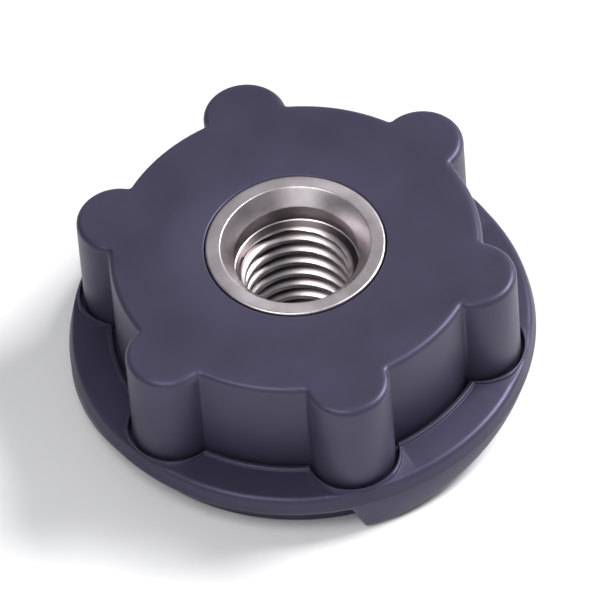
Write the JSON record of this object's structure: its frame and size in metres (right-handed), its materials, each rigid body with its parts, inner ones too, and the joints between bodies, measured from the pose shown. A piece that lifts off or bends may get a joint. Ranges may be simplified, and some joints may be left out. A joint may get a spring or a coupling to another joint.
{
  "type": "lobed hand nut",
  "caption": "Black lobed hand nut: moulded grip on a flange with underside ramps, round a threaded steel sleeve that carries a free-turning steel thrust ring held by a snap ring.",
  "frame": {"origin": "centre of the bounding box's bottom: on the thread axis, in the plane of the three underside pads", "axes": "+Z along the thread axis from the pads towards the top of the knob; +X through the middle of one lobe"},
  "size_m": [0.061, 0.061, 0.0226],
  "materials": {
    "knob_plastic": "satin moulded glass-filled nylon, fine spark-eroded texture",
    "flange_plastic": "satin moulded glass-filled nylon, fine spark-eroded texture",
    "turned_steel": "bright turned, concentric tool marks",
    "ring_steel": "bright turned, concentric tool marks",
    "spring_steel": "black phosphated spring steel"
  },
  "bodies": {
    "nut": {"grip_knob": "knob_plastic", "ramp_flange": "flange_plastic", "threaded_sleeve": "turned_steel", "snap_ring": "spring_steel"},
    "thrust_ring": {"thrust_ring": "ring_steel"}
  },
  "joints": [
    {"name": "thrust_ring_spin", "type": "hinge", "parent": "nut", "child": "thrust_ring", "pos_m": [0, 0, 0.0048], "axis": [0, 0, 1], "continuous": true}
  ]
}
